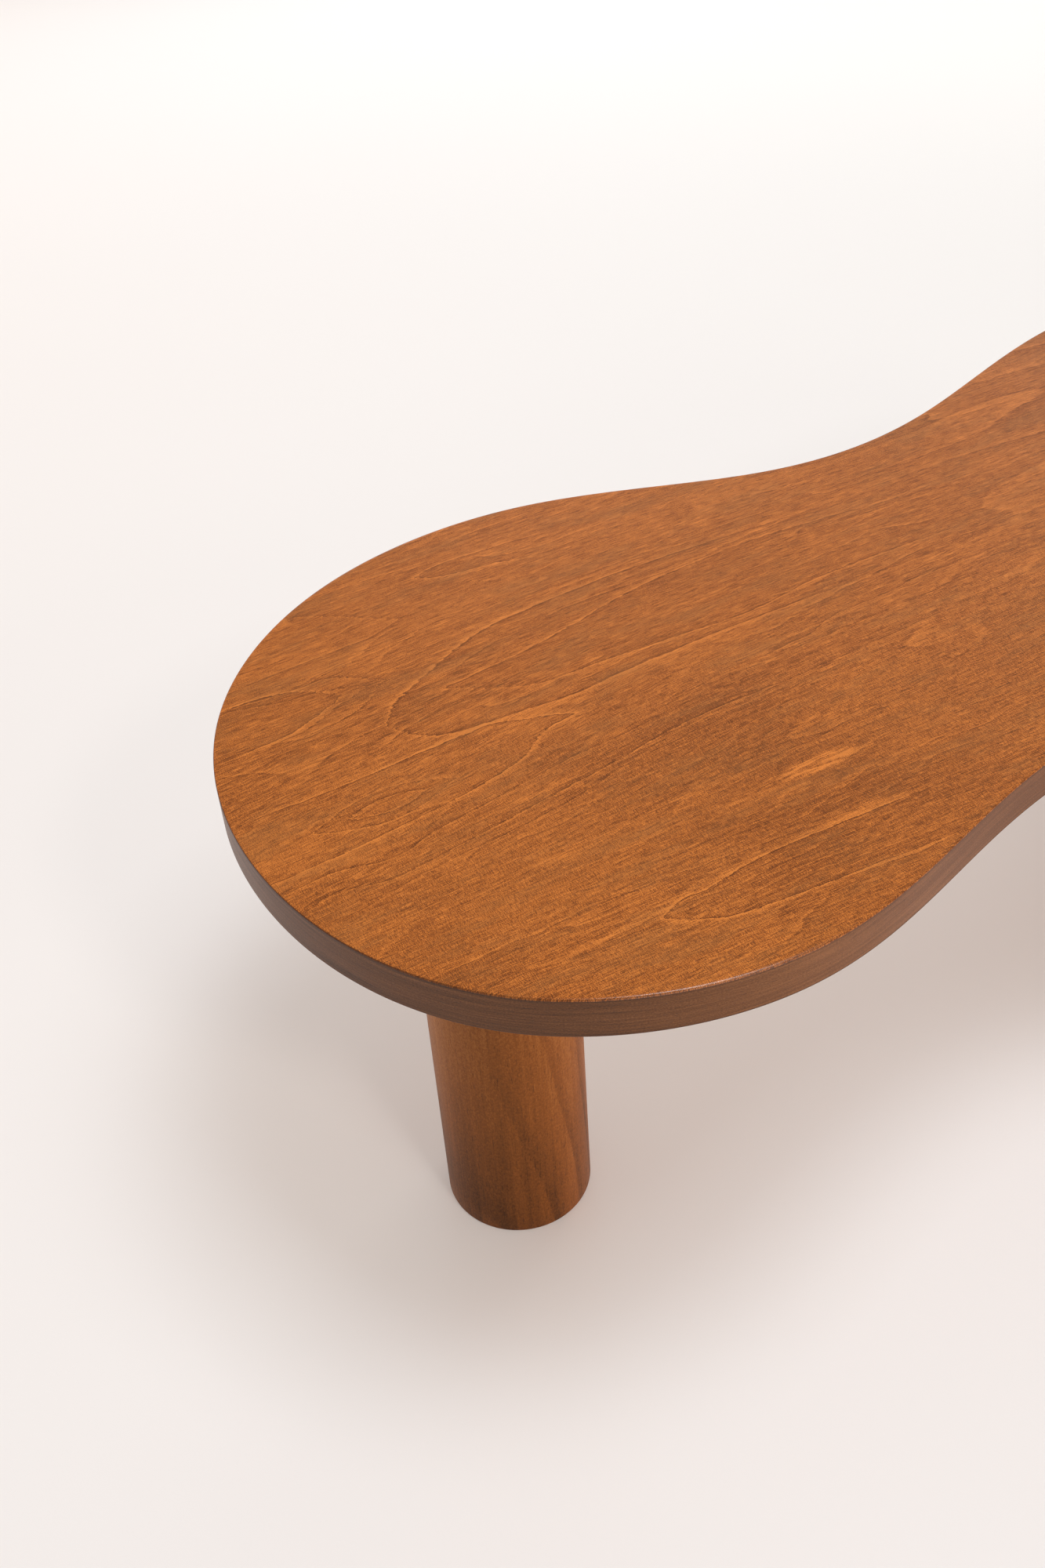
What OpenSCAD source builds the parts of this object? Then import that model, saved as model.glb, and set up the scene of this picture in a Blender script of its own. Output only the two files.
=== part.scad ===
// Low free-form bench: a veneered, peanut-shaped top on three round screw-on legs.
// X runs along the bench, Y across it, Z up. The origin is under the middle of the top,
// on the surface that the bench stands on.

/* [Bench] */
// Height of the top face above the floor
bench_height = 380; // [330:5:450]
// Length of the top from end to end
top_length = 1077; // [950:1:1250]

/* [Top panel] */
// Whole thickness of the top
top_thickness = 27; // [25:1:36]
// Thickness of the face veneer and of the backing veneer
veneer_thickness = 1.5; // [0.6:0.1:2.5]
// Thickness of the wooden strip around the edge
band_thickness = 2; // [1:0.5:4]

/* [Legs] */
// Diameter of each leg
leg_diameter = 100; // [90:1:120]
// Distance from the small end of the top to the centre of the single leg
single_leg_inset = 144.5; // [110:0.5:180]
// Distance from the large end of the top to the line through the pair of legs
pair_leg_inset = 205; // [160:1:240]
// Distance between the centres of the two legs of the pair
pair_leg_spacing = 260; // [200:2:300]
// Radius that eases the foot of each leg
foot_radius = 1.5; // [0.5:0.5:3]

/* [Leg fixings] */
// Diameter of the steel plate let into the underside of the top
plate_diameter = 76; // [70:1:86]
// Thickness of the steel plate
plate_thickness = 4; // [3:0.5:6]
// Diameter of the circle that the plate screws lie on
screw_circle = 54; // [46:1:60]
// Number of screws in each plate
screw_count = 4; // [3:1:6]
// Shank diameter of a plate screw
screw_diameter = 4.5; // [3.5:0.5:5]
// Length of a plate screw
screw_length = 19; // [12:1:20]
// Diameter of the hanger bolt's machine thread
bolt_diameter = 10; // [8:1:12]
// Length of the hanger bolt's wood thread, inside the leg
bolt_depth = 55; // [30:1:80]

/* [Foot glides] */
// Diameter of the felt disc under each leg
glide_diameter = 84; // [60:1:86]
// Thickness of the felt disc
glide_thickness = 4; // [3:0.5:6]
// How far the felt stands proud of the foot
glide_stand_out = 1; // [0.5:0.5:2]

/* [Hidden] */
$fn = 96;

// Control points of the plan outline, a closed cubic B-spline that runs anticlockwise.
// They are measured from the middle of the small lobe, and the curve passes just inside them.
outline_controls = [
    [865, 58], [744, 236], [545, 263], [363, 171],
    [222, 164], [66, 246], [-106, 226], [-224, 114],
    [-243, -47], [-171, -187], [-7, -239], [134, -173],
    [294, -142], [450, -243], [654, -272], [831, -154]
];
control_count = len(outline_controls);
// Straight steps that each span of the outline is drawn with
span_steps = 10;
point_count = control_count * span_steps;
// The strip at the back runs from the large end to the middle of the waist
back_seam = 3.5 * span_steps;

// Point of one span of the B-spline, for t from 0 to 1
function span_point(p, q, r, s, t) = (
    pow(1 - t, 3) * p
    + (3 * pow(t, 3) - 6 * pow(t, 2) + 4) * q
    + (-3 * pow(t, 3) + 3 * pow(t, 2) + 3 * t + 1) * r
    + pow(t, 3) * s
) / 6;
function control(i) = outline_controls[i % control_count];

raw_outline = [
    for (i = [0 : control_count - 1], k = [0 : span_steps - 1])
        span_point(
            control(i + control_count - 1), control(i), control(i + 1), control(i + 2),
            k / span_steps
        )
];
raw_x = [for (p = raw_outline) p[0]];
raw_y = [for (p = raw_outline) p[1]];
raw_centre = [(min(raw_x) + max(raw_x)) / 2, (min(raw_y) + max(raw_y)) / 2];
plan_scale = top_length / (max(raw_x) - min(raw_x));
outline = [for (p = raw_outline) (p - raw_centre) * plan_scale];

// Unit vector that points out of the outline at point i
function outward(i) =
    let (run = outline[(i + 1) % point_count] - outline[(i + point_count - 1) % point_count])
    [run[1], -run[0]] / norm(run);
// Point i of the outline moved inwards by a distance
function inset_point(i, inset) = outline[i % point_count] - inset * outward(i % point_count);
function inset_outline(inset) = [for (i = [0 : point_count - 1]) inset_point(i, inset)];

underside = bench_height - top_thickness;
core_thickness = top_thickness - 2 * veneer_thickness;
leg_length = underside - glide_stand_out;
// Radial gap around each piece of hardware in its hole
hole_gap = 0.1;
// The veneer is cut away over each plate, and the plate's face lies flush with it
plate_top = underside + plate_thickness;
boss_diameter = bolt_diameter + 10;
boss_height = 9;
bolt_top_gap = 2;
screw_head_diameter = 2 * screw_diameter;
screw_head_height = screw_diameter / 2;
thread_pitch = 3.5;
thread_depth = 1;

// Centres of the legs on the floor
middle_y = -raw_centre[1] * plan_scale;
single_leg_at = [-top_length / 2 + single_leg_inset, middle_y];
front_leg_at = [top_length / 2 - pair_leg_inset, middle_y - pair_leg_spacing / 2];
back_leg_at = [top_length / 2 - pair_leg_inset, middle_y + pair_leg_spacing / 2];
leg_places = [single_leg_at, front_leg_at, back_leg_at];

// Places its children at the screws of a plate at the origin
module at_screws() {
    for (i = [0 : screw_count - 1])
        rotate(45 + i * 360 / screw_count)
            translate([screw_circle / 2, 0, 0])
                children();
}

// Slice of the top: the plan outline, drawn in by inset, from height z upwards
module panel(z, thickness, inset) {
    translate([0, 0, z])
        linear_extrude(thickness)
            polygon(inset_outline(inset));
}

// Part of the edge strip, between two points of the outline
module edge_strip(first, last) {
    outer = [for (i = [first : last]) inset_point(i, 0)];
    inner = [for (i = [last : -1 : first]) inset_point(i, band_thickness)];
    translate([0, 0, underside + veneer_thickness])
        linear_extrude(core_thickness)
            polygon(concat(outer, inner));
}

// Board with a pocket for each plate and its boss, and pilot holes for the screws
module top_core() {
    color([0.78, 0.64, 0.45])
    difference() {
        panel(underside + veneer_thickness, core_thickness, band_thickness);
        for (place = leg_places)
            translate([place[0], place[1], underside]) {
                cylinder(d = plate_diameter + 2 * hole_gap, h = plate_thickness);
                cylinder(d = boss_diameter + 2 * hole_gap, h = plate_thickness + boss_height);
                at_screws()
                    cylinder(d = screw_diameter + 2 * hole_gap, h = screw_length + 0.5, $fn = 32);
            }
    }
}

module face_veneer() {
    color([0.65, 0.36, 0.18])
        panel(bench_height - veneer_thickness, veneer_thickness, 0);
}

// Backing sheet with a round opening over each plate
module backing_veneer() {
    color([0.60, 0.34, 0.18])
    difference() {
        panel(underside, veneer_thickness, 0);
        for (place = leg_places)
            translate([place[0], place[1], underside - 1])
                cylinder(d = plate_diameter + 2 * hole_gap, h = veneer_thickness + 2);
    }
}

// Strip around the front, the small end and half of the back
module edge_band_front() {
    color([0.42, 0.26, 0.17])
        edge_strip(back_seam, point_count);
}

// Strip from the large end to the seam at the waist
module edge_band_back() {
    color([0.42, 0.26, 0.17])
        edge_strip(0, back_seam);
}

// Solid turned leg with an eased foot, a recess for the felt and a bore for the hanger bolt
module leg(place) {
    radius = leg_diameter / 2;
    color([0.50, 0.30, 0.17])
    translate([place[0], place[1], glide_stand_out])
    difference() {
        rotate_extrude()
            union() {
                translate([0, foot_radius])
                    square([radius, leg_length - foot_radius]);
                square([radius - foot_radius, foot_radius]);
                translate([radius - foot_radius, foot_radius])
                    circle(r = foot_radius, $fn = 48);
            }
        translate([0, 0, -1])
            cylinder(d = glide_diameter + 2 * hole_gap, h = glide_thickness - glide_stand_out + 1);
        translate([0, 0, leg_length - bolt_depth - 1])
            cylinder(d = bolt_diameter + 2 * hole_gap, h = bolt_depth + 2, $fn = 48);
    }
}

// Round steel plate with a threaded boss, let in flush with the underside
module leg_plate(place) {
    color([0.62, 0.63, 0.65])
    translate([place[0], place[1], underside])
    difference() {
        union() {
            cylinder(d = plate_diameter, h = plate_thickness);
            cylinder(d = boss_diameter, h = plate_thickness + boss_height, $fn = 64);
        }
        translate([0, 0, -1])
            cylinder(d = bolt_diameter + 2 * hole_gap, h = plate_thickness + boss_height + 2, $fn = 48);
        at_screws() {
            translate([0, 0, -1])
                cylinder(d = screw_diameter + 2 * hole_gap, h = plate_thickness + 2, $fn = 32);
            cylinder(
                d1 = screw_head_diameter + 2 * hole_gap, d2 = screw_diameter + 2 * hole_gap,
                h = screw_head_height, $fn = 32
            );
        }
    }
}

// Countersunk wood screw with a square drive, its head down at the origin and its point up
module wood_screw() {
    point_length = screw_diameter;
    difference() {
        union() {
            cylinder(d1 = screw_head_diameter, d2 = screw_diameter, h = screw_head_height, $fn = 32);
            translate([0, 0, screw_head_height])
                cylinder(d = screw_diameter, h = screw_length - screw_head_height - point_length, $fn = 32);
            translate([0, 0, screw_length - point_length])
                cylinder(d1 = screw_diameter, d2 = 1, h = point_length, $fn = 32);
        }
        translate([-screw_diameter / 4, -screw_diameter / 4, -1])
            cube([screw_diameter / 2, screw_diameter / 2, screw_head_height]);
    }
}

module leg_screws(place) {
    color([0.80, 0.80, 0.78])
    translate([place[0], place[1], underside])
        at_screws()
            wood_screw();
}

// Hanger bolt: a plain machine end in the plate's boss and a ridged wood end in the leg
module leg_bolt(place) {
    radius = bolt_diameter / 2;
    ridges = floor((bolt_depth - 2 * radius) / thread_pitch);
    ridge_profile = [
        for (i = [0 : ridges - 1], side = [0, 1])
            [radius - side * thread_depth, -(i + side / 2) * thread_pitch]
    ];
    top = plate_thickness + boss_height - bolt_top_gap;
    color([0.72, 0.72, 0.70])
    translate([place[0], place[1], underside])
        rotate_extrude()
            polygon(concat(
                [[0, top], [radius - 1, top], [radius, top - 1]],
                ridge_profile,
                [[radius - thread_depth, -bolt_depth + radius], [1, -bolt_depth], [0, -bolt_depth]]
            ));
}

// Felt disc held in the recess of the foot
module leg_glide(place) {
    edge = 0.5;
    radius = glide_diameter / 2;
    color([0.35, 0.33, 0.31])
    translate([place[0], place[1], 0])
        rotate_extrude()
            polygon([[0, 0], [radius - edge, 0], [radius, edge], [radius, glide_thickness], [0, glide_thickness]]);
}

module single_leg() { leg(single_leg_at); }
module single_leg_plate() { leg_plate(single_leg_at); }
module single_leg_screws() { leg_screws(single_leg_at); }
module single_leg_bolt() { leg_bolt(single_leg_at); }
module single_leg_glide() { leg_glide(single_leg_at); }

module front_leg() { leg(front_leg_at); }
module front_leg_plate() { leg_plate(front_leg_at); }
module front_leg_screws() { leg_screws(front_leg_at); }
module front_leg_bolt() { leg_bolt(front_leg_at); }
module front_leg_glide() { leg_glide(front_leg_at); }

module back_leg() { leg(back_leg_at); }
module back_leg_plate() { leg_plate(back_leg_at); }
module back_leg_screws() { leg_screws(back_leg_at); }
module back_leg_bolt() { leg_bolt(back_leg_at); }
module back_leg_glide() { leg_glide(back_leg_at); }

top_core();
face_veneer();
backing_veneer();
edge_band_front();
edge_band_back();
single_leg();
single_leg_plate();
single_leg_screws();
single_leg_bolt();
single_leg_glide();
front_leg();
front_leg_plate();
front_leg_screws();
front_leg_bolt();
front_leg_glide();
back_leg();
back_leg_plate();
back_leg_screws();
back_leg_bolt();
back_leg_glide();
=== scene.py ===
import math

import bmesh
import bpy
from mathutils import Matrix, Vector


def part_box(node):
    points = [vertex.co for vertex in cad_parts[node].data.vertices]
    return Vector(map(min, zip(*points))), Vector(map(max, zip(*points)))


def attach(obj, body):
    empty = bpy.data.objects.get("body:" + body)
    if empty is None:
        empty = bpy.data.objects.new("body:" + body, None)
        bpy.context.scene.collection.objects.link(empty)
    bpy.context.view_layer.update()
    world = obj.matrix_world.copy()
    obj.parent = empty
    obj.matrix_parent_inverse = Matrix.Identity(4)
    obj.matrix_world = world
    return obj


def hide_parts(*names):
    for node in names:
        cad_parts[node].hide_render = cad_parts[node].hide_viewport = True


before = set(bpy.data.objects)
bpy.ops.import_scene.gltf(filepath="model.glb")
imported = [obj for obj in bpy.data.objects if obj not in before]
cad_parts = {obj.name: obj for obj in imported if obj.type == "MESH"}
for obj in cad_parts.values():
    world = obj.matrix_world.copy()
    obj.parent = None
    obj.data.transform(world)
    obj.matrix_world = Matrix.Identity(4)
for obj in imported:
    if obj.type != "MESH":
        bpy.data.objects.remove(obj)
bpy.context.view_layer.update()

MM = 0.001
LEGS = ("single_leg", "front_leg", "back_leg")

# Shapes
RIM_STEPS = 4            # short pieces of rim between two corners of the CAD outline
EASE = 1.1 * MM          # radius of the veneers' rounded edge
FLAT_MARGIN = 3 * MM     # ring of flat faces inside the rounded edge
FOOT = 1.5 * MM          # radius of the leg's foot
FELT_EDGE = 0.8 * MM     # radius of the felt's lower edge
FELT_SWAY = 0.05 * MM    # unevenness of the felt's side
CHAMFER = 0.25 * MM      # at the two ends of an edge strip
HOLE_GAP = 0.1 * MM      # round each piece of hardware in its hole
NEARLY = 0.01 * MM       # two places this close count as one
SHARP = math.radians(40)
ARC_STEPS = 6
STRIP_ROWS = 8
SHAFT_ROWS = 24
FELT_RINGS = 8
HOLE_SIDES = 96
LEG_SIDES = 192
FELT_SIDES = 120

# Colours in linear light, from the darkest wood to the palest
FACE_COLOURS = (0.118, 0.034, 0.007), (0.298, 0.083, 0.0145), (0.62, 0.200, 0.036)
FACE_GREY = (0.235, 0.100, 0.030, 1)
# Painted shade for the foot of the face veneer's eased edge
FACE_EDGE_SHADE = (0.060, 0.020, 0.008, 1)
BAND_COLOURS = (0.054, 0.020, 0.006), (0.146, 0.053, 0.016), (0.28, 0.112, 0.038)
LEG_COLOURS = (0.074, 0.024, 0.004), (0.255, 0.079, 0.013), (0.48, 0.185, 0.042)
BACKING_COLOURS = (0.11, 0.042, 0.015), (0.27, 0.105, 0.036), (0.46, 0.20, 0.075)
BACKING_EDGE = (0.085, 0.030, 0.009, 1)
BOARD_COLOURS = (0.42, 0.27, 0.13), (0.60, 0.42, 0.23), (0.72, 0.55, 0.33)
FELT_COLOURS = (0.035, 0.030, 0.026), (0.11, 0.098, 0.086), (0.19, 0.17, 0.15)
PAPER_COLOURS = (0.84, 0.82, 0.80), (0.86, 0.84, 0.82)

# Wood
FIGURE_CONTRAST = 1.4    # of the face's growth layers
CURVE_REACH = 300.0      # mm that a drawn curve may lie from the X axis
STREAK_BOW = -0.00013    # bend of the long streaks, per mm
BOARD_STRIP = 0.042      # width of the strips glued up in the board
LEG_RING = 0.022         # from one growth ring to the next
LEG_SWAY = 0.034         # how unevenly the rings run
# Where each leg's heart lies from its middle, in metres, and how far it leans along X
HEARTS = {
    "single_leg": ((0.085, 0.012), -0.10),
    "front_leg": ((-0.050, 0.040), 0.16),
    "back_leg": ((0.055, -0.035), 0.12),
}

# Studio
CAMERA_PLACE = (-0.6849, -0.6735, 0.973)
CAMERA_LENS = 38.52
CAMERA_HEADING, CAMERA_DOWN, CAMERA_ROLL = -25, 39.89, -4.31
FLOOR_HALF_WIDTH = 7.0
FLOOR_SQUARES = 24
LIGHTS_AIM = Vector((-0.25, 0.0, 0.1))
SKY = (1.0, 0.92, 0.872), 0.412
# Name, place, size, power and colour
WINDOWS = (
    ("overhead_near", (0.05, -0.75, 2.6), 0.9, 15.0, (0.88, 0.94, 1.0)),
    ("overhead_high", (-0.08, -0.55, 3.1), 0.9, 17.3, (0.83, 0.91, 1.0)),
    ("front_high", (-0.25, -2.12, 2.22), 0.3, 8.3, (1.0, 0.95, 0.91)),
    ("front_low", (0.19, -2.51, 1.69), 0.5, 5.4, (1.0, 1.0, 0.93)),
    ("back_window_left", (0.58, 3.09, 1.26), 1.6, 3.8, (0.56, 0.81, 1.0)),
    ("back_window_middle", (1.35, 2.77, 1.26), 1.6, 8.1, (0.71, 0.90, 1.0)),
    ("back_window_right", (2.52, 1.60, 1.26), 1.6, 12.4, (0.96, 1.0, 0.99)),
)
# The studio's far walls: broad light that the bench is too small to block. The right wall's
# stands below the floor's level, so that it makes no bright pool on the paper.
WALLS = (
    ("left_wall", (-3.0, 3.5, 3.0), 1.0, 80, (1.0, 0.88, 0.82)),
    ("back_wall", (0.0, 4.5, 3.0), 1.0, 42, (1.0, 0.89, 0.85)),
    ("back_right_wall", (3.0, 3.5, 3.0), 1.0, 16.5, (1.0, 0.97, 0.90)),
    ("right_wall", (3.2, -2.6, -0.25), 0.4, 88, (1.0, 0.76, 0.48)),
)


# ---------------------------------------------------------------- shader helpers

class Shader:
    """A material's node tree, with short names for the nodes used below."""

    def __init__(self, name):
        self.material = bpy.data.materials.new(name)
        self.material.use_nodes = True
        self.tree = self.material.node_tree
        self.surface = self.tree.nodes["Principled BSDF"]

    def add(self, kind, **settings):
        node = self.tree.nodes.new("ShaderNode" + kind)
        for key, value in settings.items():
            setattr(node, key, value)
        return node

    def feed(self, socket, value):
        if isinstance(value, bpy.types.NodeSocket):
            self.tree.links.new(value, socket)
        else:
            socket.default_value = value

    def math(self, operation, *values, clamp=False):
        node = self.add("Math", operation=operation, use_clamp=clamp)
        for socket, value in zip(node.inputs, values):
            self.feed(socket, value)
        return node.outputs[0]

    def less(self, first, second):
        return self.math("SUBTRACT", first, second)

    def times(self, first, *others):
        for other in others:
            first = self.math("MULTIPLY", first, other)
        return first

    def layered(self, value, *layers, clamp=False):
        """The value with each (layer, strength) added to it, kept within 0 to 1 if clamp is set."""
        for count, (layer, strength) in enumerate(layers, 1):
            last = count == len(layers)
            value = self.math("MULTIPLY_ADD", layer, strength, value, clamp=clamp and last)
        return value

    def place(self):
        return self.add("TexCoord").outputs["Object"]

    def along(self, layer):
        return self.add("UVMap", uv_map=layer).outputs["UV"]

    def split(self, vector):
        node = self.add("SeparateXYZ")
        self.feed(node.inputs[0], vector)
        return node.outputs[:3]

    def join(self, x, y, z):
        node = self.add("CombineXYZ")
        for socket, value in zip(node.inputs, (x, y, z)):
            self.feed(socket, value)
        return node.outputs[0]

    def stretch(self, vector, scale, shift=(0, 0, 0)):
        node = self.add("Mapping")
        self.feed(node.inputs["Vector"], vector)
        node.inputs["Scale"].default_value = scale
        node.inputs["Location"].default_value = shift
        return node.outputs[0]

    def noise(self, vector, scale=1.0, detail=2.0, roughness=0.5, distortion=0.0):
        node = self.add("TexNoise")
        self.feed(node.inputs["Vector"], vector)
        node.inputs["Scale"].default_value = scale
        node.inputs["Detail"].default_value = detail
        node.inputs["Roughness"].default_value = roughness
        node.inputs["Distortion"].default_value = distortion
        return node.outputs["Fac"]

    def grain(self, vector, scale, shift=(0, 0, 0), detail=2, roughness=0.5):
        """Noise stretched by a different scale along each axis."""
        return self.noise(self.stretch(vector, scale, shift), detail=detail, roughness=roughness)

    def swing(self, *where, **settings):
        """Grain that swings about zero."""
        return self.less(self.grain(*where, **settings), 0.5)

    def remap(self, value, low, high, to_low=0.0, to_high=1.0, kind="LINEAR"):
        node = self.add("MapRange", interpolation_type=kind)
        for socket, item in zip(node.inputs, (value, low, high, to_low, to_high)):
            self.feed(socket, item)
        return node.outputs[0]

    def fade(self, value, low, high, to_low=0.0, to_high=1.0):
        """The same with soft ends."""
        return self.remap(value, low, high, to_low, to_high, "SMOOTHSTEP")

    def ramp(self, value, *stops):
        """A smooth curve of grey values: stops are (position, value) pairs."""
        node = self.add("ValToRGB")
        node.color_ramp.interpolation = "EASE"
        while len(node.color_ramp.elements) < len(stops):
            node.color_ramp.elements.new(0.5)
        for element, (position, grey) in zip(node.color_ramp.elements, stops):
            element.position = position
            element.color = (grey, grey, grey, 1)
        self.feed(node.inputs[0], value)
        return node.outputs[0]

    def curve(self, value, points):
        """A smooth curve through (position 0 to 1, result in mm) points."""
        node = self.add("FloatCurve")
        line = node.mapping.curves[0]
        while len(line.points) < len(points):
            line.points.new(0.5, 0.5)
        for point, (position, result) in zip(line.points, points):
            point.location = (position, 0.5 + result / (2 * CURVE_REACH))
            point.handle_type = "AUTO_CLAMPED"
        node.mapping.update()
        self.feed(node.inputs["Value"], value)
        return self.math("MULTIPLY_ADD", node.outputs[0], 2 * CURVE_REACH, -CURVE_REACH)

    def blend(self, amount, first, second):
        node = self.add("Mix", data_type="RGBA")
        for name, value in (("Factor_Float", amount), ("A_Color", first), ("B_Color", second)):
            socket = next(s for s in node.inputs if s.identifier == name)
            self.feed(socket, value)
        return next(s for s in node.outputs if s.identifier == "Result_Color")

    def tint(self, value, *colours):
        """Colours spread evenly over the values 0 to 1."""
        node = self.add("ValToRGB")
        ramp = node.color_ramp
        while len(ramp.elements) < len(colours):
            ramp.elements.new(0.5)
        for index, colour in enumerate(colours):
            ramp.elements[index].position = index / (len(colours) - 1)
            ramp.elements[index].color = (*colour, 1)
        self.feed(node.inputs[0], value)
        return node.outputs[0]

    def bump(self, height, distance, strength=0.5):
        node = self.add("Bump")
        node.inputs["Strength"].default_value = strength
        node.inputs["Distance"].default_value = distance
        self.feed(node.inputs["Height"], height)
        self.feed(self.surface.inputs["Normal"], node.outputs[0])

    def finish(self, **sockets):
        for name, value in sockets.items():
            self.feed(self.surface.inputs[name.replace("_", " ")], value)
        return self.material


# ---------------------------------------------------------------- the face's figure, in mm

def shares(stations):
    """Each station's place as a share of the way from the first station to the last."""
    first, last = stations[0][0], stations[-1][0]
    return [(station[0] - first) / (last - first) for station in stations]


def outline(s, x, y, *stations):
    """How far, across the grain, a place lies outside a figure drawn round the grain.

    Each station is its place along the grain, the figure's middle there and its half width.
    A half width below zero closes the figure's tip.
    """
    along = s.remap(x, stations[0][0], stations[-1][0])
    at = shares(stations)
    middle = s.curve(along, [(share, station[1]) for share, station in zip(at, stations)])
    half = s.curve(along, [(share, station[2]) for share, station in zip(at, stations)])
    return s.less(s.math("ABSOLUTE", s.less(y, middle)), half)


def height_over(s, x, y, *points):
    """How far, across the grain, a place lies above a line of (along, across) points."""
    along = s.remap(x, points[0][0], points[-1][0])
    line = s.curve(along, [(share, point[1]) for share, point in zip(shares(points), points)])
    return s.less(y, line)


def late_wood(s, distance, width):
    """A growth layer's edge: crisp and dark on the minus side, pale and fading on the plus side."""
    shade = s.ramp(s.remap(distance, -8 * width, 12 * width), (0.0, 0.5), (0.28, 0.46),
                   (0.375, 0.18), (0.405, 0.92), (0.46, 0.72), (0.60, 0.56), (1.0, 0.5))
    return s.less(shade, 0.5)


def between(s, x, start, full, fall, end):
    """Fades in from start to full and out again from fall to end, along the grain."""
    rise = s.fade(x, start, full)
    return s.times(rise, s.fade(x, fall, end, 1.0, 0.0))


def oval(s, x, y, middle_x, middle_y, half_x, half_y):
    """Distance from an oval's middle, along and across the grain: 1 on the oval itself."""
    spread = s.stretch(s.join(x, y, 0.0), (1 / half_x, 1 / half_y, 1),
                       (-middle_x / half_x, -middle_y / half_y, 0))
    length = s.add("VectorMath", operation="LENGTH")
    s.feed(length.inputs[0], spread)
    return length.outputs["Value"]


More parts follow.
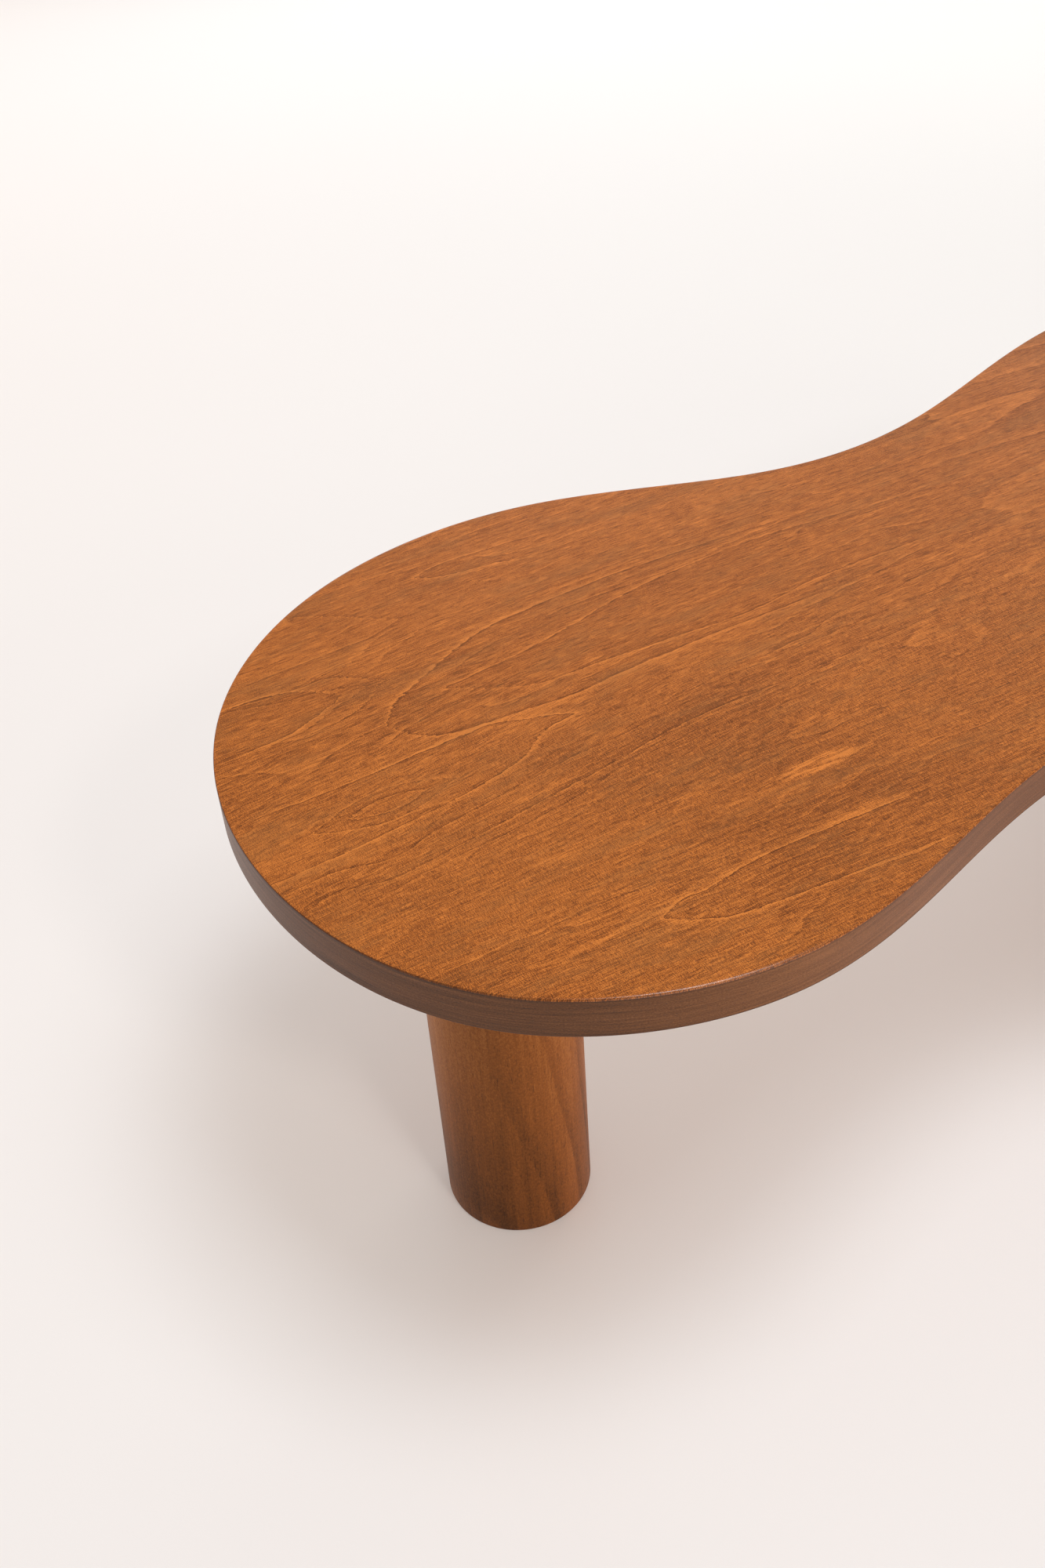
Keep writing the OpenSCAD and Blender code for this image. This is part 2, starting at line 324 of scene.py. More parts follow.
def face_figure(s, x, y):
    """The veneer's drawing at the small end: nested tongues, loops and long streaks.

    Each line starts with its strength, its edge's width, and where it fades in and out along
    the grain. A strength below zero turns a line's dark and pale sides round.
    """
    parts = []

    def draw(distance, strength, width, span):
        edge = late_wood(s, distance, width)
        parts.append(s.times(edge, between(s, x, *span), strength))

    def loop(strength, width, span, *stations):
        draw(outline(s, x, y, *stations), strength, width, span)

    def streak(strength, width, span, *points):
        draw(height_over(s, x, y, *points), strength, width, span)

    # The great tongue, open towards the large end, and the one nested in it
    loop(0.85, 1.0, (-470, -455, -330, 60),
         (-431, 58, -12), (-426, 58, 3), (-420, 57, 13), (-410, 57, 21), (-398, 58, 27),
         (-380, 62, 33), (-350, 69, 41), (-320, 72, 46), (-260, 78, 46), (-180, 80, 45),
         (-60, 78, 43), (140, 76, 38))
    loop(0.8, 0.6, (-420, -400, -120, 30),
         (-400, 72, -6), (-384, 72, 0), (-365, 68, 7), (-350, 65, 12), (-335, 63, 16),
         (-300, 66, 20), (-240, 73, 29), (-180, 76, 33), (-130, 81, 30), (0, 76, 24))
    # The tongue that points to the large end, and the one above it near the back rim
    loop(1.1, 0.5, (-560, -500, -320, -305),
         (-530, -7, 27), (-470, -4, 25), (-400, 4, 22), (-370, 9, 17), (-360, 11, 11),
         (-345, 12, 5), (-331, 10, 1), (-318, 9, -5))
    loop(-0.5, 0.7, (-500, -470, -370, -350),
         (-480, 170, 30), (-440, 168, 26), (-415, 163, 19), (-400, 158, 13), (-385, 155, 5),
         (-374, 154, 0), (-362, 154, -4))
    # The zigzag left of the great tongue: an edge and two threads
    loop(1.2, 0.5, (-540, -490, -445, -430),
         (-520, 99, 23), (-480, 101, 21), (-463, 102, 16), (-450, 101, 9), (-438, 99, 0),
         (-428, 99, -6))
    loop(-1.1, 0.32, (-520, -450, -415, -402),
         (-500, 96, 26), (-460, 97, 22), (-440, 99, 20), (-425, 99, 12), (-411, 99, 0),
         (-400, 99, -6))
    loop(-1.0, 0.28, (-520, -480, -425, -410),
         (-500, 97, 22), (-470, 95, 16), (-445, 99, 9), (-421, 99, 0), (-410, 99, -5))
    # The island by the back rim, the small oval by the end, and its outer ring
    loop(1.1, 0.4, (-380, -352, -300, -220),
         (-356, 192, -4), (-346, 191, 1), (-335, 190, 6), (-300, 188, 9), (-260, 183, 12),
         (-235, 181, 9), (-222, 180, 0), (-214, 180, -4))
    loop(-1.1, 0.3, (-490, -484, -430, -420),
         (-485, -7, -3), (-478, -7, 1), (-455, -7, 6), (-434, -7, 1), (-427, -7, -3))
    loop(0.8, 0.4, (-520, -500, -420, -405),
         (-505, -8, -3), (-497, -8, 2), (-455, -7, 13), (-418, -6, 2), (-410, -6, -3))
    # The loop by the front rim
    loop(1.0, 0.5, (-400, -385, -260, -150),
         (-386, -160, -6), (-374, -160, 0), (-362, -161, 7), (-340, -165, 12), (-310, -164, 16),
         (-250, -165, 18), (-120, -171, 19))
    # Streaks that wander with the grain
    streak(-0.75, 0.45, (-560, -500, -240, -20),
           (-540, -72), (-520, -60), (-505, -58), (-480, -63), (-440, -58), (-390, -50),
           (-345, -43), (-310, -36), (-270, -30), (-200, -28), (-150, -25), (-60, -19), (60, -16))
    streak(-0.7, 0.45, (-560, -520, -420, -160),
           (-540, -46), (-505, -42), (-475, -48), (-440, -40), (-400, -33), (-360, -26),
           (-300, -20), (-250, -14), (-190, -10), (-60, -6))
    streak(-0.5, 0.4, (-520, -480, -330, -260),
           (-500, -76), (-460, -67), (-420, -63), (-390, -60), (-350, -52), (-320, -43),
           (-270, -34))
    streak(0.6, 0.35, (-500, -470, -330, -240),
           (-500, -137), (-440, -137), (-400, -134), (-350, -136), (-290, -140), (-220, -142))
    streak(0.6, 0.35, (-410, -390, -260, -215),
           (-410, -159), (-380, -156), (-340, -154), (-310, -147), (-280, -147), (-220, -148))
    streak(0.55, 0.35, (-475, -450, -100, 70),
           (-460, 118), (-440, 124), (-400, 129), (-350, 134), (-240, 135), (-160, 137),
           (-40, 133), (80, 130))
    streak(0.7, 0.35, (-305, -290, -140, -60),
           (-300, 105), (-285, 108), (-180, 111), (-150, 117), (-110, 116), (0, 112))
    streak(-0.7, 0.5, (-215, -195, -100, 40),
           (-210, -2), (-190, 1), (-170, 3), (-155, 9), (-140, 12), (-100, 14), (-80, 18),
           (40, 18))
    # Long streaks with one even bend: how far across they end, and where they start and end
    for across, start, end, strength in (
            (-86, -470, -180, 0.45), (-30, -430, -60, 0.5), (2, -300, 40, -0.4),
            (14, -260, 60, 0.5), (30, -180, 90, 0.4), (-66, -330, -20, 0.4),
            (150, -330, -60, 0.3)):
        squared = s.math("POWER", s.less(x, end), 2.0)
        bow = s.math("MULTIPLY_ADD", squared, STREAK_BOW, across)
        draw(s.less(y, bow), strength, 0.28, (start, start + 60, end - 90, end))
    loop(0.6, 0.35, (-105, -92, -30, 30),
         (-96, 100, -3), (-86, 100, 0), (-60, 100, 3), (20, 100, 4))
    # Pale patches where a growth layer only just shows
    flat = s.join(x, y, 0.0)
    strokes = s.remap(s.grain(flat, (0.035, 0.50, 1), (6, 2, 0)), 0.42, 0.58, 0.35, 1.5)
    for middle_x, middle_y, half_x, half_y, strength in (
            (-237, -101, 27, 7, 0.34), (-262, -112, 12, 4, 0.22), (-393, -90, 24, 8, 0.12),
            (-285, -107, 26, 5, 0.10), (-245, -145, 34, 7, 0.12)):
        reach = oval(s, x, y, middle_x, middle_y, half_x, half_y)
        parts.append(s.times(s.fade(reach, 1.25, 0.45, 0.0, strength), strokes))
    total = parts[0]
    for part in parts[1:]:
        total = s.math("ADD", total, part)
    return total


def grain_lines(s, x, y):
    """Thin growth lines a centimetre or so apart, that run with the grain and come and go."""
    flat = s.join(x, y, 0.0)
    drift = s.grain(flat, (0.005, 0.018, 1), (1, 9, 0), roughness=0.45)
    layer = s.math("FRACT", s.layered(s.times(y, 0.07), (drift, 7.0)))
    line = s.ramp(layer, (0.0, 0.5), (0.40, 0.48), (0.475, 0.28), (0.51, 0.78), (0.62, 0.60),
                  (0.8, 0.5), (1.0, 0.5))
    shown = s.fade(s.grain(flat, (0.007, 0.045, 1), (3, 3, 0)), 0.42, 0.62)
    return s.times(s.less(line, 0.5), shown)


def wider_figure(s, x, y):
    """The same kind of drawing, left to chance, over the rest of the sheet.

    Its lines are the contours of growth layers that were cut nearly flat.
    """
    flat = s.join(x, y, 0.0)
    drift = s.grain(flat, (0.0034, 0.015, 1), (3, 7, 0), detail=1, roughness=0.4)
    height = s.layered(s.times(y, 0.012), (drift, 6.0))
    # Each island is its middle, its half length and half width, and how many layers it holds
    for middle_x, middle_y, half_x, half_y, layers in (
            (330, -40, 260, 70, 2.4), (400, 150, 150, 30, 1.3), (120, 20, 120, 30, 1.1),
            (430, -190, 120, 24, 1.2)):
        reach = oval(s, x, y, middle_x, middle_y, half_x, half_y)
        height = s.math("ADD", height, s.fade(reach, 1.5, 0.0, 0.0, layers))
    shade = s.ramp(s.math("FRACT", height), (0.0, 0.80), (0.08, 0.70), (0.35, 0.54), (0.8, 0.45),
                   (0.96, 0.34), (1.0, 0.80))
    return s.less(shade, 0.5)


def swept_grain(s, x, y):
    """How far the grain has swept towards the front rim as it nears the small end.

    It sweeps most along the middle of the sheet.
    """
    sweep = s.curve(s.remap(x, -540.0, 0.0),
                    [(0.0, -50.0), (0.2, -37.0), (0.4, -22.0), (0.6, -10.0), (1.0, 0.0)])
    front_share = s.fade(y, -150.0, -55.0)
    back_share = s.fade(y, -20.0, 110.0, 1.0, 0.4)
    return s.times(sweep, s.times(front_share, back_share))


# ---------------------------------------------------------------- materials

def face_wood():
    """Rotary-cut veneer, stained warm brown: contour lines, fibres, pores and cross flecks."""
    s = Shader("face_veneer_wood")
    x, y, _ = s.split(s.place())
    x = s.times(x, 1 / MM)
    y = s.times(y, 1 / MM)
    flat = s.join(x, y, 0.0)

    # Every edge of the figure is feathered along the grain
    teeth = s.swing(flat, (0.030, 0.55, 1), detail=3, roughness=0.65)
    ripple = s.swing(flat, (0.07, 0.10, 1), (5, 1, 0), detail=3, roughness=0.55)
    fine = s.swing(flat, (0.3, 0.9, 1), (2, 8, 0), roughness=0.6)
    figure_x = s.layered(x, (teeth, 13.0))
    figure_y = s.layered(y, (ripple, 2.4), (fine, 1.8))
    mapped = face_figure(s, figure_x, figure_y)
    chance = wider_figure(s, figure_x, figure_y)
    uneven = s.fade(s.grain(flat, (0.010, 0.028, 1), (9, 2, 0)), 0.30, 0.66, 0.75, 1.3)
    beyond = s.fade(x, -160.0, 200.0, 0.15, 0.55)
    figure = s.times(s.math("MULTIPLY_ADD", chance, beyond, mapped), uneven)

    flow_y = s.less(s.layered(y, (ripple, 3.0)), swept_grain(s, x, y))
    flow = s.join(x, flow_y, 0.0)
    figure = s.layered(figure, (grain_lines(s, figure_x, flow_y), 0.65))

    broad = s.swing(flow, (0.003, 0.016, 1), detail=3)
    cloud = s.less(s.noise(flat, scale=0.022, detail=3), 0.5)
    bundles = s.fade(s.grain(flow, (0.006, 0.030, 1), (8, 3, 0)), 0.36, 0.64, 0.45, 1.5)
    streaks = s.swing(flow, (0.0065, 0.36, 1), (4, 4, 0), detail=3, roughness=0.62)
    streaks = s.times(streaks, bundles)
    fibre = s.swing(flow, (0.08, 1.7, 1), roughness=0.7)
    mottle = s.swing(flat, (2.0, 2.6, 1), detail=1, roughness=0.7)
    pores = s.fade(s.grain(flow, (0.30, 2.6, 1), roughness=0.6), 0.58, 0.70)
    flecks = s.fade(s.grain(flat, (1.8, 0.20, 1), detail=1, roughness=0.4), 0.60, 0.72)
    patches = s.fade(s.grain(flat, (0.025, 0.035, 1), (6, 3, 0)), 0.40, 0.62, 0.15, 1.0)
    front = s.fade(s.layered(y, (cloud, 220.0)), 70.0, -50.0, 0.15, 1.0)
    flecks = s.times(flecks, patches, front)
    weave = s.swing(flat, (1.7, 0.24, 1), (7, 7, 0), detail=1, roughness=0.6)
    weave = s.times(weave, s.remap(front, 0.0, 1.0, 0.35, 1.0))

    value = s.layered(0.5, (figure, FIGURE_CONTRAST), (broad, 0.26), (cloud, 0.25), (streaks, 0.52),
                      (fibre, 2.2), (mottle, 2.7), (weave, 1.25), (flecks, -0.36), (pores, -0.32))
    # Broad soft patches, made darker or lighter
    for middle_x, middle_y, half_x, half_y, strength in (
            (-275, -95, 62, 115, -0.105), (-475, -50, 45, 40, 0.05), (-182, 185, 110, 50, 0.08),
            (-480, -150, 60, 40, -0.05)):
        reach = oval(s, x, y, middle_x, middle_y, half_x, half_y)
        value = s.math("ADD", value, s.fade(reach, 1.6, 0.3, 0.0, strength))
    value = s.math("ADD", value, s.fade(x, -330.0, -180.0, 0.05, 0.03), clamp=True)
    colour = s.tint(value, *FACE_COLOURS)
    # Here and there the stain is greyer than its neighbours
    dull = s.grain(flow, (0.012, 0.05, 1), (2, 6, 0), detail=4, roughness=0.7)
    colour = s.blend(s.times(s.fade(dull, 0.45, 0.70), 0.30), colour, FACE_GREY)

    # The eased edge is rubbed smooth, most of all halfway along the small end. Its foot is painted
    # darker as shade, strongly round the small end's tip and faintly elsewhere
    inset, _, _ = s.split(s.along("rim"))
    rubbed = s.fade(inset, 1.1 * MM, 1.9 * MM, 1.0, 0.0)
    most = s.layered(0.15, (between(s, x, -450.0, -405.0, -350.0, -290.0), 0.85))
    rubbed = s.times(rubbed, most)
    # Painted shade along the foot of the eased edge, darkest round the small end's tip
    edge_stain_and_shade = s.fade(inset, 0.2 * MM, 0.5 * MM, 1.0, 0.0)
    edge_stain_and_shade = s.times(edge_stain_and_shade, s.fade(x, -520.0, -450.0, 0.85, 0.20))
    colour = s.blend(edge_stain_and_shade, colour, FACE_EDGE_SHADE)
    rough = s.layered(0.50, (value, -0.10), (rubbed, -0.22))
    relief = s.layered(s.times(fibre, 0.6), (pores, -1.0), (flecks, -0.4))
    s.bump(relief, 0.05 * MM)
    return s.finish(Base_Color=colour, Roughness=rough, Specular_IOR_Level=0.12,
                    Coat_Weight=rubbed, Coat_Roughness=0.26)


def band_wood():
    """Edge strip: straight long grain that follows the rim, stained darker than the face."""
    s = Shader("edge_band_wood")
    run, height, _ = s.split(s.along("rim"))
    bend = s.noise(s.join(s.times(run, 3.0), s.times(height, 20.0), 0.0), detail=2)
    rise = s.layered(height, (s.less(bend, 0.5), 0.012))
    flat = s.join(run, rise, 0.0)
    bands = s.swing(flat, (2.0, 160, 1), detail=3, roughness=0.55)
    fibre = s.swing(flat, (14, 520, 1), detail=3, roughness=0.75)
    cloud = s.swing(flat, (9, 30, 1), detail=3)
    pores = s.fade(s.grain(flat, (140, 2200, 1), detail=1), 0.62, 0.76)
    grit = s.swing(flat, (900, 1700, 1), detail=1, roughness=0.6)
    value = s.layered(0.52, (bands, 0.40), (fibre, 1.1), (grit, 0.9), (cloud, 0.30), (pores, -0.35))
    # Painted light and shade along the strip: darker towards the small end's tip, lightest at its
    # front
    painted_light_along_strip = s.remap(s.split(s.place())[0], -0.52, -0.14)
    painted_light_along_strip = s.ramp(painted_light_along_strip, (0.0, 0.38), (0.22, 0.43), (0.47, 0.66), (0.65, 0.60), (1.0, 0.5))
    value = s.math("ADD", value, s.less(painted_light_along_strip, 0.5))
    # Painted shade along the strip's top, under the face veneer's edge
    painted_shade_under_veneer = s.fade(height, 376.6 * MM, 378.5 * MM)
    value = s.layered(value, (painted_shade_under_veneer, -0.40), clamp=True)
    rough = s.layered(0.42, (value, -0.08))
    s.bump(s.layered(s.times(fibre, 0.8), (pores, -1.0)), 0.12 * MM)
    return s.finish(Base_Color=s.tint(value, *BAND_COLOURS), Roughness=rough,
                    Specular_IOR_Level=0.22)


def leg_wood(name, middle, heart, lean):
    """Solid wood, grain upright. Its rings lie round a heart outside the leg and lean a little."""
    s = Shader(name)
    x, y, z = s.split(s.place())
    x = s.less(x, middle[0])
    y = s.less(y, middle[1])
    near = s.join(x, y, z)
    sway = s.swing(near, (7, 7, 3.2), roughness=0.45)
    from_heart_x = s.layered(s.less(x, heart[0]), (z, -lean))
    from_heart_y = s.less(y, heart[1])
    squares = s.math("ADD", s.math("POWER", from_heart_x, 2.0), s.math("POWER", from_heart_y, 2.0))
    reach = s.layered(s.math("SQRT", squares), (sway, LEG_SWAY))
    ring = s.math("FRACT", s.times(reach, 1 / LEG_RING))
    late = s.ramp(ring, (0.0, 0.60), (0.30, 0.56), (0.62, 0.50), (0.86, 0.24), (0.93, 0.24),
                  (1.0, 0.60))
    shown = s.fade(s.grain(near, (16, 16, 4)), 0.35, 0.68, 0.25, 1.0)
    figure = s.times(s.less(late, 0.5), shown)
    fibre = s.swing(near, (420, 420, 11), detail=3, roughness=0.7)
    streak = s.swing(near, (55, 55, 2.2))
    cloud = s.swing(near, (14, 14, 8), detail=3)
    grit = s.swing(near, (800, 800, 500), roughness=0.8)
    pores = s.fade(s.grain(near, (1400, 1400, 110), detail=1), 0.62, 0.76)
    # The leg is darker towards its foot
    foot = s.fade(z, 0.20, 0.0)
    value = s.layered(0.57, (figure, 0.60), (streak, 0.45), (cloud, 0.38), (fibre, 0.40),
                      (grit, 0.80), (pores, -0.25), (foot, -0.32), clamp=True)
    rough = s.layered(0.46, (value, -0.08))
    s.bump(s.layered(s.times(fibre, 0.8), (pores, -1.0)), 0.12 * MM)
    return s.finish(Base_Color=s.tint(value, *LEG_COLOURS), Roughness=rough,
                    Specular_IOR_Level=0.12)


def backing_wood():
    """Plainer veneer on the underside, thinly stained."""
    s = Shader("backing_veneer_wood")
    x, y, _ = s.split(s.place())
    flat = s.join(x, y, 0.0)
    height = s.times(s.grain(flat, (2.2, 16, 1), (5, 5, 0), detail=3), 9.0)
    late = s.ramp(s.math("FRACT", height), (0.0, 0.7), (0.3, 0.52), (0.9, 0.36), (1.0, 0.7))
    fibre = s.swing(flat, (24, 650, 1), detail=3, roughness=0.7)
    pores = s.fade(s.grain(flat, (150, 1500, 1)), 0.60, 0.74)
    value = s.layered(0.5, (s.less(late, 0.5), 0.6), (fibre, 0.7), (pores, -0.2), clamp=True)
    # Its edge took the same stain as the edge strip
    inset, _, _ = s.split(s.along("rim"))
    edge_stain_and_shade = s.times(s.fade(inset, 1.0 * MM, 1.6 * MM, 1.0, 0.0), 0.9)
    colour = s.blend(edge_stain_and_shade, s.tint(value, *BACKING_COLOURS), BACKING_EDGE)
    s.bump(s.layered(fibre, (pores, -1.0)), 0.12 * MM)
    return s.finish(Base_Color=colour, Roughness=0.62, Specular_IOR_Level=0.35)


def board_wood():
    """Raw board inside the top: pale wood with glued strips along its length."""
    s = Shader("core_board_wood")
    x, y, z = s.split(s.place())
    strip = s.math("FLOOR", s.math("DIVIDE", y, BOARD_STRIP))
    seed = s.times(strip, 3.7)
    fibre = s.noise(s.join(s.layered(seed, (x, 12.0)), s.times(y, 420.0), s.times(z, 420.0)),
                    detail=3, roughness=0.65)
    shade = s.noise(s.join(seed, 0.0, 0.0), scale=5)
    value = s.layered(fibre, (s.less(shade, 0.5), 0.6), clamp=True)
    s.bump(fibre, 0.1 * MM)
    return s.finish(Base_Color=s.tint(value, *BOARD_COLOURS), Roughness=0.75)


def steel(name, low, high, roughness):
    """Rolled or plated steel: fine drawn lines and soft blotches."""
    s = Shader(name)
    lines = s.grain(s.place(), (2600, 90, 2600))
    blotch = s.noise(s.place(), scale=55, detail=4)
    value = s.layered(s.times(lines, 0.4), (blotch, 0.6), clamp=True)
    s.bump(lines, 0.03 * MM, 0.4)
    return s.finish(Base_Color=s.tint(value, low, high), Metallic=1.0,
                    Roughness=s.layered(roughness, (value, 0.25)))


def felt():
    """Pressed grey-brown wool: short tangled fibres and lint."""
    s = Shader("felt_wool")
    tangle = s.noise(s.place(), scale=1600, detail=4, roughness=0.7, distortion=1.5)
    lint = s.noise(s.place(), scale=260, detail=3)
    value = s.layered(s.times(tangle, 0.5), (lint, 0.5), clamp=True)
    s.bump(tangle, 0.3 * MM, 0.8)
    return s.finish(Base_Color=s.tint(value, *FELT_COLOURS), Roughness=0.95, Sheen_Weight=0.3)


def studio_paper():
    """Smooth off-white floor with the faintest unevenness."""
    s = Shader("studio_paper")
    cloud = s.noise(s.place(), scale=1.2, detail=3)
    grain = s.noise(s.place(), scale=900, detail=2)
    value = s.layered(s.times(cloud, 0.7), (grain, 0.3), clamp=True)
    s.bump(grain, 0.2 * MM, 0.15)
    return s.finish(Base_Color=s.tint(value, *PAPER_COLOURS), Roughness=0.85)


# ---------------------------------------------------------------- shapes

def plan_corners(vertices):
    """The different places of some vertices in plan."""
    return {(round(v.co.x, 7), round(v.co.y, 7)) for v in vertices}


def rim_of(node):
    """The outline of a flat sheet, anticlockwise, from the upper corners of its mesh."""
    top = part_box(node)[1][2]
    upper = [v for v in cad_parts[node].data.vertices if v.co.z > top - NEARLY]
    return sorted(plan_corners(upper), key=lambda p: math.atan2(p[1], p[0]))


def smooth_loop(points, steps):
    """A closed curve through the points, with steps short pieces between neighbours."""
    count = len(points)
    result = []
    for i in range(count):
        before, here, there, after = (Vector(points[(i + k) % count]) for k in (-1, 0, 1, 2))
        for k in range(steps):
            t = k / steps
            result.append(0.5 * (
                2 * here
                + (there - before) * t
                + (2 * before - 5 * here + 4 * there - after) * t ** 2
                + (3 * here - before - 3 * there + after) * t ** 3
            ))
    return result


def kept_inside(loop, node):
    """The loop with the hair's breadth that it bulges past the node's box taken off."""
    low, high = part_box(node)
    return [Vector((min(max(p.x, low[0]), high[0]), min(max(p.y, low[1]), high[1]))) for p in loop]


def outward(loop):
    """Unit vectors that point out of a closed anticlockwise loop."""
    normals = []
    for i in range(len(loop)):
        run = loop[(i + 1) % len(loop)] - loop[i - 1]
        normals.append(Vector((run.y, -run.x)).normalized())
    return normals


def new_piece(name, mesh, material, node):
    """Registers a finished bmesh as a piece that stands for a CAD node."""
    bmesh.ops.recalc_face_normals(mesh, faces=mesh.faces)
    data = bpy.data.meshes.new(name)
    mesh.to_mesh(data)
    mesh.free()
    for polygon in data.polygons:
        polygon.use_smooth = True
    data.set_sharp_from_angle(angle=SHARP)
    data.materials.append(material)
    piece = bpy.data.objects.new(name, data)
    bpy.context.scene.collection.objects.link(piece)
    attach(piece, "root")
    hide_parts(node)


def ring_of(mesh, points, z):
    return [mesh.verts.new((p.x, p.y, z)) for p in points]


def bridge(mesh, lower, upper):
    """Closes the band between two rings of equal length."""
    for i in range(len(lower)):
        k = (i + 1) % len(lower)
        mesh.faces.new((lower[i], lower[k], upper[k], upper[i]))


def fill_flat(mesh, *rings):
    """Fills the flat area inside the first ring and outside the others."""
    edges = []
    for ring in rings:
        for i in range(len(ring)):
            pair = (ring[i], ring[(i + 1) % len(ring)])
            edges.append(mesh.edges.get(pair) or mesh.edges.new(pair))
    bmesh.ops.triangle_fill(mesh, edges=edges, use_beauty=False)


def circle_points(middle, radius, count):
    angles = [math.tau * i / count for i in range(count)]
    return [Vector((middle[0] + radius * math.cos(a), middle[1] + radius * math.sin(a)))
            for a in angles]


def middle_of(node):
    low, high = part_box(node)
    return [(a + b) / 2 for a, b in zip(low, high)]


def radius_of(node):
    low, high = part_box(node)
    return (high[0] - low[0]) / 2


def quarter_turn():
    """Sine and cosine of evenly spaced angles from 0 to 90 degrees."""
    angles = [math.pi / 2 * k / ARC_STEPS for k in range(ARC_STEPS + 1)]
    return [(math.sin(a), math.cos(a)) for a in angles]


def eased_sheet(node, material, show_up, holes=()):
    """A veneer sheet whose show side has a rounded edge. Holes are (middle, radius) pairs."""
    low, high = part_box(node)
    show, back = (high[2], low[2]) if show_up else (low[2], high[2])
    towards = 1 if show_up else -1
    mesh = bmesh.new()
    layer = mesh.loops.layers.uv.new("rim")
    profile = [(0.0, back)]
    for sine, cosine in quarter_turn():
        profile.append((EASE * (1 - cosine), show - towards * EASE * (1 - sine)))
    profile.append((EASE + FLAT_MARGIN, show))
    rings = []
    insets = {}
    for inset, z in profile:
        rings.append(ring_of(mesh, [p - n * inset for p, n in zip(rim, rim_normals)], z))
        insets.update((vertex, inset) for vertex in rings[-1])
    for lower, upper in zip(rings, rings[1:]):
        bridge(mesh, lower, upper)
    show_holes = []
    back_holes = []
    for middle, radius in holes:
        points = circle_points(middle, radius, HOLE_SIDES)
        show_holes.append(ring_of(mesh, points, show))
        back_holes.append(ring_of(mesh, points, back))
        bridge(mesh, show_holes[-1], back_holes[-1])
    fill_flat(mesh, rings[-1], *show_holes)
    fill_flat(mesh, rings[0], *back_holes)
    for face in mesh.faces:
        for corner in face.loops:
            corner[layer].uv = (insets.get(corner.vert, profile[-1][0]), corner.vert.co.z)
    new_piece(node + "_sheet", mesh, material, node)


def edge_strip(node, material):
    """A wooden strip bent round part of the rim, with a hairline chamfer at its two ends."""
    corners = plan_corners(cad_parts[node].data.vertices)
    on_strip = [tuple(round(c, 7) for c in corner) in corners for corner in rim_corners]
    first = next(i for i in range(len(on_strip)) if on_strip[i] and not on_strip[i - 1])
    length = next(k for k in range(1, len(on_strip)) if not on_strip[(first + k) % len(on_strip)])
    chain = [(first * RIM_STEPS + k) % len(rim) for k in range((length - 1) * RIM_STEPS + 1)]
    low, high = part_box(node)
    mesh = bmesh.new()
    layer = mesh.loops.layers.uv.new("rim")
    travelled = [0.0]
    for a, b in zip(chain, chain[1:]):
        travelled.append(travelled[-1] + (rim[b] - rim[a]).length)
    sections = []
    for place, index in enumerate(chain):
        inset = CHAMFER if place in (0, len(chain) - 1) else 0.0
        section = [(inset, low[2] + (high[2] - low[2]) * k / STRIP_ROWS)
                   for k in range(STRIP_ROWS + 1)]
        section += [(BAND, high[2]), (BAND, low[2])]
        points = [(rim[index] - rim_normals[index] * away, z) for away, z in section]
        sections.append([mesh.verts.new((p.x, p.y, z)) for p, z in points])
    for place, (here, there) in enumerate(zip(sections, sections[1:])):
        for k in range(len(here)):
            j = (k + 1) % len(here)
            face = mesh.faces.new((here[k], there[k], there[j], here[j]))
            for corner in face.loops:
                along = travelled[place + 1] if corner.vert in there else travelled[place]
                corner[layer].uv = (along, corner.vert.co.z)
    mesh.faces.new(sections[0])
    mesh.faces.new(reversed(sections[-1]))
    new_piece(node + "_strip", mesh, material, node)


def lathe(profile, middle, segments):
    """Turns a profile of (radius, z) points, whose two ends lie on the axis."""
    mesh = bmesh.new()
    rings = []
    for radius, z in profile:
        if radius == 0:
            rings.append([mesh.verts.new((middle[0], middle[1], z))])
        else:
            rings.append(ring_of(mesh, circle_points(middle, radius, segments), z))
    for lower, upper in zip(rings, rings[1:]):
        for i in range(segments):
            k = (i + 1) % segments
            corners = [lower[i % len(lower)], lower[k % len(lower)],
                       upper[k % len(upper)], upper[i % len(upper)]]
            mesh.faces.new(list(dict.fromkeys(corners)))
    return mesh


def turned_leg(node, material):
    """A turned leg with an eased foot, a recess for its felt and a bore for its bolt."""
    low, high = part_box(node)
    recess_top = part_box(node + "_glide")[1][2]
    bore_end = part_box(node + "_bolt")[0][2] - MM
    radius = radius_of(node)
    recess = radius_of(node + "_glide") + HOLE_GAP
    bore = radius_of(node + "_bolt") + HOLE_GAP
    foot_top = low[2] + FOOT
    profile = [(0, recess_top), (recess, recess_top), (recess, low[2])]
    for sine, cosine in quarter_turn():
        profile.append((radius - FOOT + FOOT * sine, foot_top - FOOT * cosine))
    for k in range(1, SHAFT_ROWS + 1):
        profile.append((radius, foot_top + (high[2] - foot_top) * k / SHAFT_ROWS))
    profile += [(bore, high[2]), (bore, bore_end), (0, bore_end)]
    mesh = lathe(profile, middle_of(node), LEG_SIDES)
    new_piece(node + "_turned", mesh, material, node)


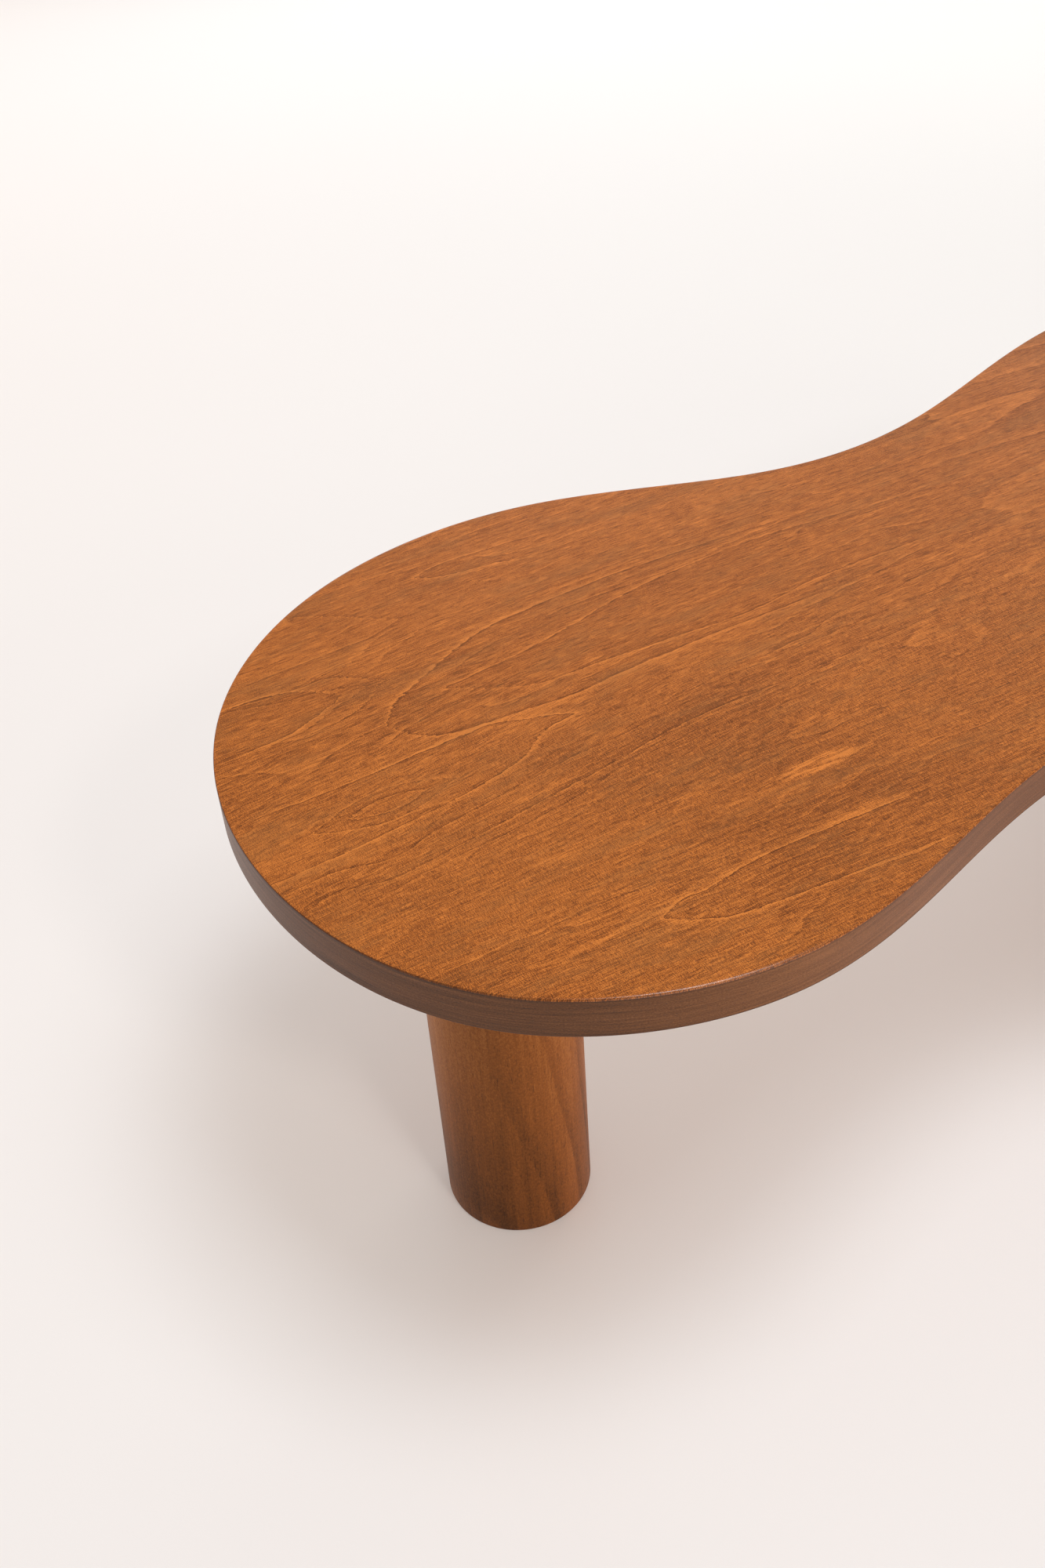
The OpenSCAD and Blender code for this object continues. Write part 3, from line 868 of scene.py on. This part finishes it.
def felt_disc(node, material):
    """A pressed felt disc: a soft rounded edge and a faint unevenness."""
    low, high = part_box(node)
    radius = radius_of(node)
    profile = [(0, low[2])]
    profile += [(radius * k / FELT_RINGS, low[2]) for k in range(1, FELT_RINGS)]
    for sine, cosine in quarter_turn():
        away, up = FELT_EDGE * (1 - sine), FELT_EDGE * (1 - cosine)
        profile.append((radius - away, low[2] + up))
    profile += [(radius, high[2]), (0, high[2])]
    middle = Vector(middle_of(node))
    mesh = lathe(profile, middle, FELT_SIDES)
    for index, vertex in enumerate(mesh.verts):
        out = (vertex.co - middle).to_2d()
        if out.length > radius - NEARLY:
            vertex.co -= out.normalized().to_3d() * FELT_SWAY * (1 + math.sin(index * 2.4))
    new_piece(node + "_felt", mesh, material, node)


def refinish(node, material):
    """Gives a CAD node that stays its own material."""
    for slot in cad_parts[node].material_slots:
        slot.material = material


# ---------------------------------------------------------------- the bench

rim_corners = rim_of("face_veneer")
rim = kept_inside(smooth_loop(rim_corners, RIM_STEPS), "face_veneer")
rim_normals = outward(rim)
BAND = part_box("top_core")[0][0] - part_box("face_veneer")[0][0]

plate_holes = [(middle_of(leg + "_plate"), radius_of(leg + "_plate") + HOLE_GAP) for leg in LEGS]
eased_sheet("face_veneer", face_wood(), True)
eased_sheet("backing_veneer", backing_wood(), False, plate_holes)

strip_wood = band_wood()
edge_strip("edge_band_front", strip_wood)
edge_strip("edge_band_back", strip_wood)

wool = felt()
plate_steel = steel("rolled_steel", (0.34, 0.34, 0.35), (0.62, 0.62, 0.64), 0.28)
zinc_steel = steel("zinc_plated_steel", (0.52, 0.52, 0.50), (0.80, 0.80, 0.78), 0.22)
for leg in LEGS:
    turned_leg(leg, leg_wood(leg + "_wood", middle_of(leg), *HEARTS[leg]))
    felt_disc(leg + "_glide", wool)
    refinish(leg + "_plate", plate_steel)
    refinish(leg + "_screws", zinc_steel)
    refinish(leg + "_bolt", zinc_steel)
refinish("top_core", board_wood())


# ---------------------------------------------------------------- studio

def studio_floor():
    """A wide pale sheet."""
    mesh = bmesh.new()
    bmesh.ops.create_grid(mesh, x_segments=FLOOR_SQUARES, y_segments=FLOOR_SQUARES,
                          size=FLOOR_HALF_WIDTH)
    data = bpy.data.meshes.new("studio_floor")
    mesh.to_mesh(data)
    mesh.free()
    data.materials.append(studio_paper())
    floor = bpy.data.objects.new("studio_floor", data)
    bpy.context.scene.collection.objects.link(floor)


def area_light(name, place, size, power, colour, wall=False):
    """A square light turned towards the small end. A wall's casts no shadow and no reflection."""
    data = bpy.data.lights.new(name, "AREA")
    data.shape = "SQUARE"
    data.size = size
    data.energy = power
    data.color = colour
    data.use_shadow = not wall
    light = bpy.data.objects.new(name, data)
    light.location = place
    light.rotation_euler = (LIGHTS_AIM - Vector(place)).to_track_quat("-Z", "Y").to_euler()
    light.visible_camera = False
    light.visible_glossy = not wall
    bpy.context.scene.collection.objects.link(light)


def world_light(colour, strength):
    world = bpy.data.worlds.new("studio")
    world.use_nodes = True
    background = world.node_tree.nodes["Background"]
    background.inputs["Color"].default_value = (*colour, 1)
    background.inputs["Strength"].default_value = strength
    bpy.context.scene.world = world


def camera():
    """Stands at the small end, nearly a metre up, looking along and down at the bench."""
    data = bpy.data.cameras.new("camera")
    data.lens = CAMERA_LENS
    data.sensor_width = 36
    data.clip_start = 0.05
    heading, down, roll = map(math.radians, (CAMERA_HEADING, CAMERA_DOWN, CAMERA_ROLL))
    turn = (Matrix.Rotation(heading, 4, "Z")
            @ Matrix.Rotation(math.pi / 2 - down, 4, "X")
            @ Matrix.Rotation(roll, 4, "Z"))
    view = bpy.data.objects.new("camera", data)
    view.matrix_world = Matrix.Translation(CAMERA_PLACE) @ turn
    bpy.context.scene.collection.objects.link(view)
    bpy.context.scene.camera = view


studio_floor()
world_light(*SKY)
for window in WINDOWS:
    area_light(*window)
for wall in WALLS:
    area_light(*wall, wall=True)
camera()
bpy.context.scene.view_settings.view_transform = "Standard"
